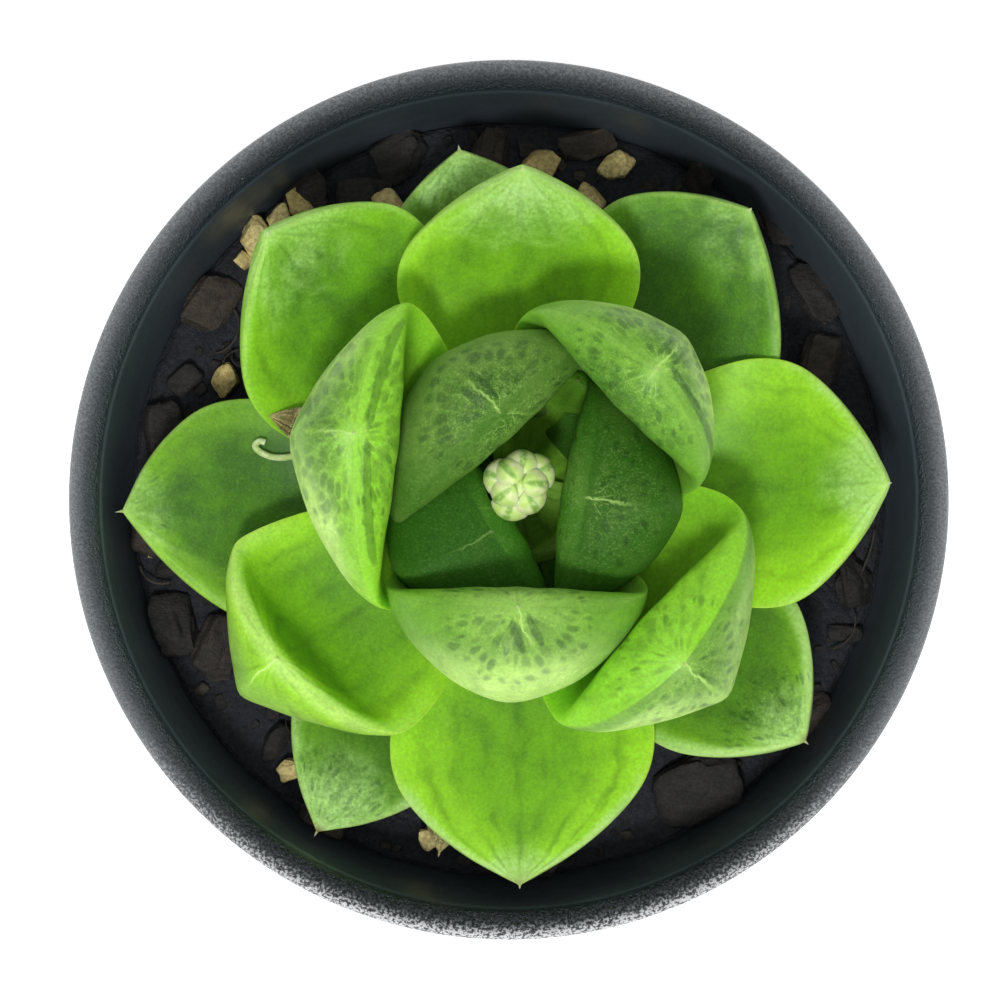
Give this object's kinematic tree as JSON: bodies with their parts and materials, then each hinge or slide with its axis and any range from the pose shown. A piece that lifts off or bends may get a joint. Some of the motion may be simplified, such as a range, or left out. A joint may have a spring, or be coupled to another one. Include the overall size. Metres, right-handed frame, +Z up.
{
  "type": "potted haworthia",
  "caption": "Soft-leaved haworthia rosette with a young flower spike, standing in bark mix in a round plastic pot.",
  "frame": {"origin": "middle of the pot's foot, on the surface it stands on", "axes": "+Z up along the pot's axis, +X the right and -Y the bottom of the view straight down on the plant"},
  "size_m": [0.085, 0.085, 0.092],
  "materials": {
    "pot_plastic": "satin",
    "mix": "matte",
    "stem_tissue": "satin",
    "leaf_inner": "satin",
    "leaf_middle": "satin",
    "leaf_outer": "satin",
    "dry_tissue": "matte",
    "bract": "satin"
  },
  "bodies": {
    "root": {"pot": "pot_plastic", "potting_mix": "mix", "stem": "stem_tissue", "leaf_01": "leaf_inner", "leaf_02": "leaf_inner", "leaf_03": "leaf_inner", "leaf_04": "leaf_inner", "leaf_05": "leaf_middle", "leaf_06": "leaf_middle", "leaf_07": "leaf_middle", "leaf_08": "leaf_middle", "leaf_09": "leaf_middle", "leaf_10": "leaf_outer", "leaf_11": "leaf_outer", "leaf_12": "leaf_outer", "leaf_13": "leaf_outer", "leaf_14": "leaf_outer", "leaf_15": "leaf_outer", "leaf_16": "leaf_outer", "leaf_17": "leaf_outer", "leaf_18": "leaf_outer", "leaf_19": "leaf_outer", "dry_leaf_01": "dry_tissue", "dry_leaf_02": "dry_tissue", "flower_spike": "bract"}
  },
  "joints": []
}
